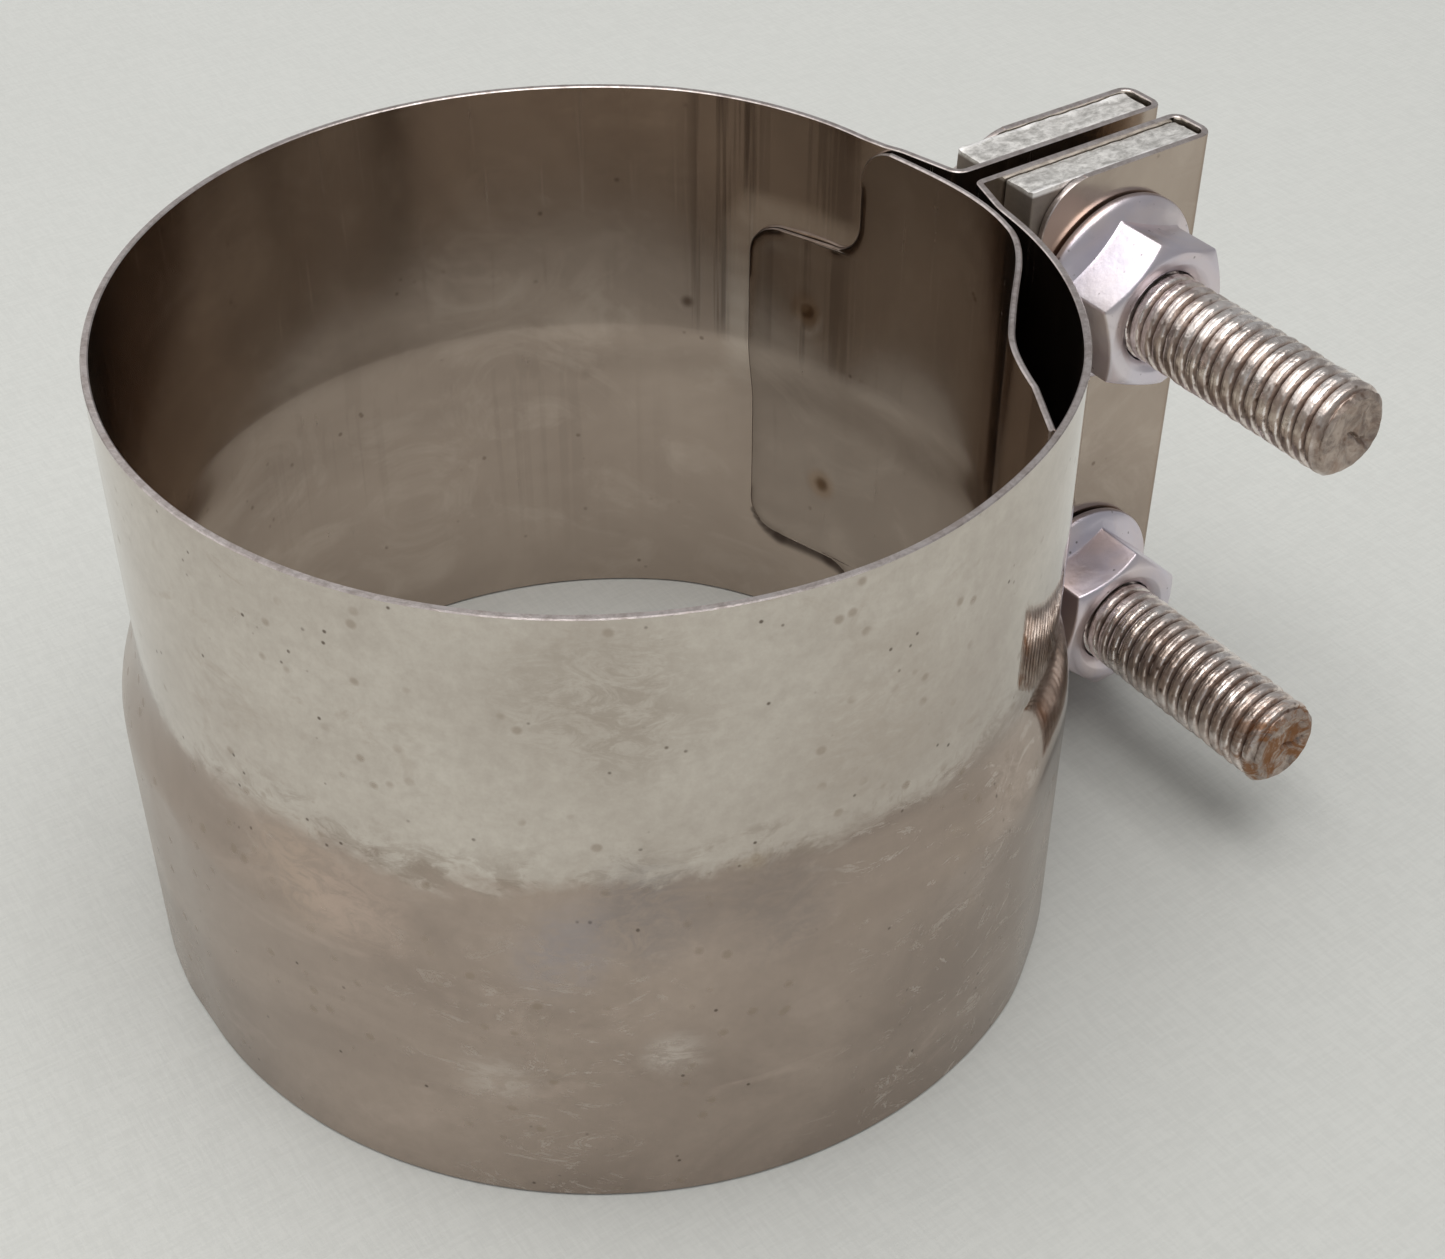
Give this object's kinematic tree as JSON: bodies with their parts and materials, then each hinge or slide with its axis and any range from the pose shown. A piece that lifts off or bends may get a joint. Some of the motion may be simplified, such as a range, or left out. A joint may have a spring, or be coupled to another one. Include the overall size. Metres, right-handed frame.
{
  "type": "stepped band clamp",
  "caption": "Wide stepped band clamp that joins one pipe end over another, closed by bolts and nuts through bars in its folded ends.",
  "frame": {"origin": "centre of the large end's edge plane, on the pipe axis", "axes": "+Z along the pipe axis towards the small end, +X towards the bars and bolts, nuts on the -Y side"},
  "size_m": [0.1342, 0.107, 0.0762],
  "materials": {
    "band_steel": "bright rolled stainless sheet, tarnished pinkish brown",
    "bar_steel": "dull sheared bar",
    "bolt_steel": "tarnished rolled thread",
    "nut_zinc": "bright zinc plate"
  },
  "bodies": {
    "clamp": {"band": "band_steel", "gap_sleeve": "band_steel", "front_bar": "bar_steel", "rear_bar": "bar_steel"},
    "upper_bolt": {"upper_bolt": "bolt_steel"},
    "lower_bolt": {"lower_bolt": "bolt_steel"},
    "upper_nut": {"upper_nut": "nut_zinc"},
    "lower_nut": {"lower_nut": "nut_zinc"}
  },
  "joints": [
    {"name": "upper_nut_turn", "type": "hinge", "parent": "clamp", "child": "upper_nut", "pos_m": [0.0664, -0.00777, 0.0606], "axis": [0, -1, 0], "range_deg": [0, 5400]},
    {"name": "lower_nut_turn", "type": "hinge", "parent": "clamp", "child": "lower_nut", "pos_m": [0.0664, -0.00777, 0.0156], "axis": [0, -1, 0], "range_deg": [0, 5400]},
    {"name": "upper_bolt_back_off", "type": "slide", "parent": "clamp", "child": "upper_bolt", "axis": [0, 1, 0], "range_m": [0, 0.03]},
    {"name": "lower_bolt_back_off", "type": "slide", "parent": "clamp", "child": "lower_bolt", "axis": [0, 1, 0], "range_m": [0, 0.03]}
  ],
  "couplings": [
    {"joint": "upper_bolt_back_off", "follows": "upper_nut_turn", "m_per_rad": 0.00028875},
    {"joint": "lower_bolt_back_off", "follows": "lower_nut_turn", "m_per_rad": 0.00028875}
  ]
}
